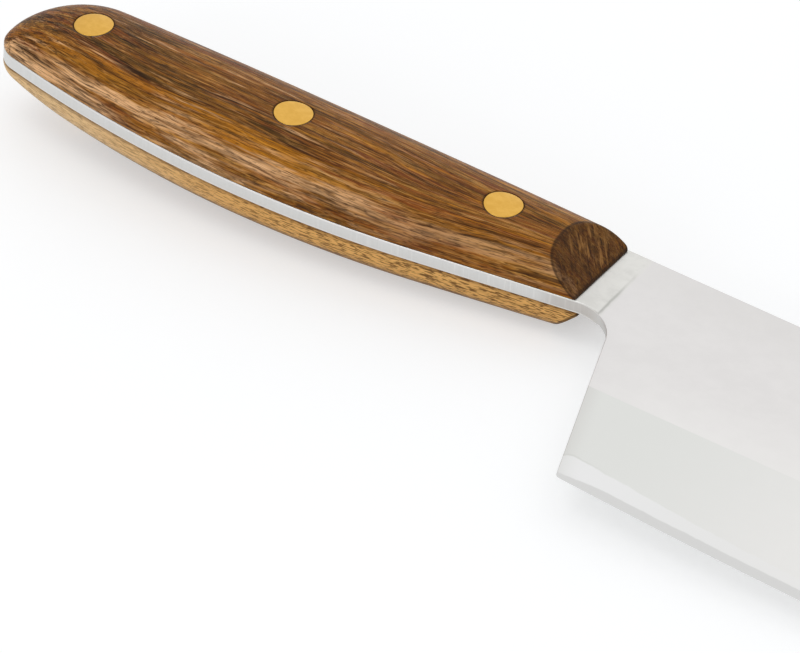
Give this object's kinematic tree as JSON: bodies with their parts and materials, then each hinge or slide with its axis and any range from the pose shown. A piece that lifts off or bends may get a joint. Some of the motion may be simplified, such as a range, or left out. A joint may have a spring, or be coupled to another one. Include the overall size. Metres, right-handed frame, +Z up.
{
  "type": "usuba knife",
  "caption": "Usuba vegetable knife with a straight spine, tall double-bevelled blade, full tang and a wooden handle held by flush brass rivets.",
  "frame": {"origin": "on the table under the middle of the knife's bounding box, as the knife lies on its left side", "axes": "+X from the handle towards the front end of the blade, +Y from the cutting edge towards the spine, +Z up from the table"},
  "size_m": [0.2824, 0.0582, 0.02],
  "materials": {
    "satin_steel": "fine satin, ground lengthwise, with a brighter band above the sharpened bevel",
    "wood_right": "oiled dark ironwood with black and orange streaks",
    "wood_left": "oiled golden brown ironwood with short dark pores",
    "brass": "ground flush with the wood, satin"
  },
  "bodies": {
    "root": {"blade_and_tang": "satin_steel", "scale_right": "wood_right", "scale_left": "wood_left", "rivet_front_pin_half": "brass", "rivet_front_tube_half": "brass", "rivet_middle_pin_half": "brass", "rivet_middle_tube_half": "brass", "rivet_rear_pin_half": "brass", "rivet_rear_tube_half": "brass"}
  },
  "joints": []
}
